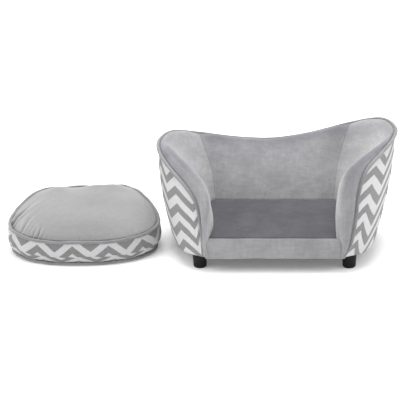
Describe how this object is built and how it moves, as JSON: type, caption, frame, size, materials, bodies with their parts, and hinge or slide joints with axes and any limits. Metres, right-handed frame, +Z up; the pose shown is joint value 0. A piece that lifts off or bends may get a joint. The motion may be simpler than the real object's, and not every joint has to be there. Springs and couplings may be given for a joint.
{
  "type": "dog sofa bed",
  "caption": "Low upholstered pet sofa with a swept rim rising into two wings, patterned outside, dark seat, round feet, and a loose zipped cushion beside it.",
  "frame": {"origin": "on the floor, under the centre of the box round the sofa and the cushion beside it", "axes": "+X to the right seen from the front, along the set's length; +Y to the back; +Z up"},
  "size_m": [1.1176, 0.4344, 0.3249],
  "materials": {
    "velvet": "light grey short-pile velvet",
    "seat_velvet": "dark grey short-pile velvet",
    "cord_velvet": "velvet over cord",
    "zigzag_weave": "flat weave, white and grey zigzag",
    "wood": "plain plywood",
    "padding": "open-cell foam or fibre fill",
    "black_plastic": "satin black",
    "plated_steel": "zinc plated",
    "black_cloth": "thin black non-woven",
    "zip_metal": "satin grey"
  },
  "bodies": {
    "sofa": {"base_plate": "wood", "left_bearer": "wood", "right_bearer": "wood", "front_bearer": "wood", "back_bearer": "wood", "front_rail": "wood", "seat_board": "wood", "left_arm_board": "wood", "right_arm_board": "wood", "back_board": "wood", "left_arm_foam": "padding", "right_arm_foam": "padding", "back_foam": "padding", "seat_foam": "padding", "seat_cover": "seat_velvet", "apron_cover": "velvet", "left_arm_cover": "velvet", "right_arm_cover": "velvet", "back_cover": "velvet", "left_outer_cover": "zigzag_weave", "right_outer_cover": "zigzag_weave", "rear_outer_cover": "zigzag_weave", "rim_piping": "cord_velvet", "dust_cover": "black_cloth", "left_front_foot": "black_plastic", "right_front_foot": "black_plastic", "left_rear_foot": "black_plastic", "right_rear_foot": "black_plastic", "left_front_bolt": "plated_steel", "right_front_bolt": "plated_steel", "left_rear_bolt": "plated_steel", "right_rear_bolt": "plated_steel", "left_front_nut": "plated_steel", "right_front_nut": "plated_steel", "left_rear_nut": "plated_steel", "right_rear_nut": "plated_steel"},
    "cushion": {"cushion_top": "velvet", "cushion_bottom": "velvet", "cushion_band": "zigzag_weave", "cushion_upper_piping": "cord_velvet", "cushion_lower_piping": "cord_velvet", "cushion_fill": "padding", "zip_tape": "black_cloth", "zip_coil": "zip_metal"},
    "zip_slider": {"zip_slider": "zip_metal"},
    "zip_pull": {"zip_pull": "zip_metal"}
  },
  "joints": [
    {"name": "cushion_lift", "type": "slide", "parent": "sofa", "child": "cushion", "axis": [-0.3489, 0, 0.9371], "range_m": [0, 0.4]},
    {"name": "zip_slide", "type": "slide", "parent": "cushion", "child": "zip_slider", "axis": [-0.9986, -0.0523, 0], "range_m": [0, 0.18]},
    {"name": "zip_pull_swing", "type": "hinge", "parent": "zip_slider", "child": "zip_pull", "pos_m": [-0.26108, 0.21552, 0.06403], "axis": [0, 0, -1], "range_deg": [0, 150]}
  ]
}
